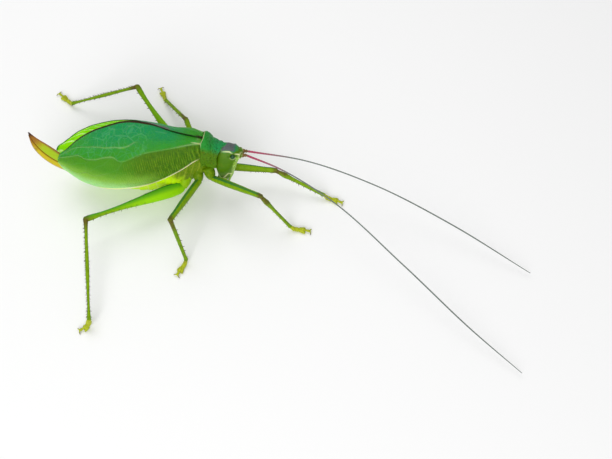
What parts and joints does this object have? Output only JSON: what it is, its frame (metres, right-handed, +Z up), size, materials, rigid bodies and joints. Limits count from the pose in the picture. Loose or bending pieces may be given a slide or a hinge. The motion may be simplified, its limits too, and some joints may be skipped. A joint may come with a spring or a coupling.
{
  "type": "common true katydid",
  "caption": "Female true katydid at rest on six spread legs, leaf-like cupped wings closed, long feelers forward and an upturned blade at the tail.",
  "frame": {"origin": "on the floor under the middle of the box", "axes": "+X towards the head's end, +Y to the animal's left, +Z up"},
  "size_m": [0.1208, 0.0756, 0.0214],
  "materials": {
    "leaf_green": "satin",
    "olive_green": "satin",
    "belly_green": "satin",
    "leg_green": "satin",
    "foot_olive": "satin",
    "blade_amber": "gloss",
    "eye_green": "gloss",
    "mouth_cream": "satin",
    "feeler_crimson": "satin",
    "feeler_grey": "satin"
  },
  "bodies": {
    "root": {"pronotum": "leaf_green", "tegmen_l": "leaf_green", "tegmen_r": "leaf_green", "head": "olive_green", "thorax": "belly_green", "abdomen": "belly_green", "cercus_l": "belly_green", "cercus_r": "belly_green", "coxa_fore_r": "leg_green", "femur_fore_r": "leg_green", "tibia_fore_r": "leg_green", "coxa_fore_l": "leg_green", "femur_fore_l": "leg_green", "tibia_fore_l": "leg_green", "coxa_mid_r": "leg_green", "femur_mid_r": "leg_green", "tibia_mid_r": "leg_green", "coxa_mid_l": "leg_green", "femur_mid_l": "leg_green", "tibia_mid_l": "leg_green", "coxa_hind_r": "leg_green", "femur_hind_r": "leg_green", "tibia_hind_r": "leg_green", "coxa_hind_l": "leg_green", "femur_hind_l": "leg_green", "tibia_hind_l": "leg_green", "tarsus_fore_r": "foot_olive", "tarsus_fore_l": "foot_olive", "tarsus_mid_r": "foot_olive", "tarsus_mid_l": "foot_olive", "tarsus_hind_r": "foot_olive", "tarsus_hind_l": "foot_olive", "ovipositor_upper": "blade_amber", "ovipositor_lower": "blade_amber", "eye_l": "eye_green", "eye_r": "eye_green", "labrum": "mouth_cream", "jaw_l": "mouth_cream", "jaw_r": "mouth_cream", "maxillary_palp_l": "mouth_cream", "maxillary_palp_r": "mouth_cream", "labial_palp_l": "mouth_cream", "labial_palp_r": "mouth_cream", "scape_l": "feeler_crimson", "scape_r": "feeler_crimson", "feeler_l_1": "feeler_crimson", "feeler_r_1": "feeler_crimson", "feeler_l_2": "feeler_grey", "feeler_l_3": "feeler_grey", "feeler_r_2": "feeler_grey", "feeler_r_3": "feeler_grey"}
  },
  "joints": []
}
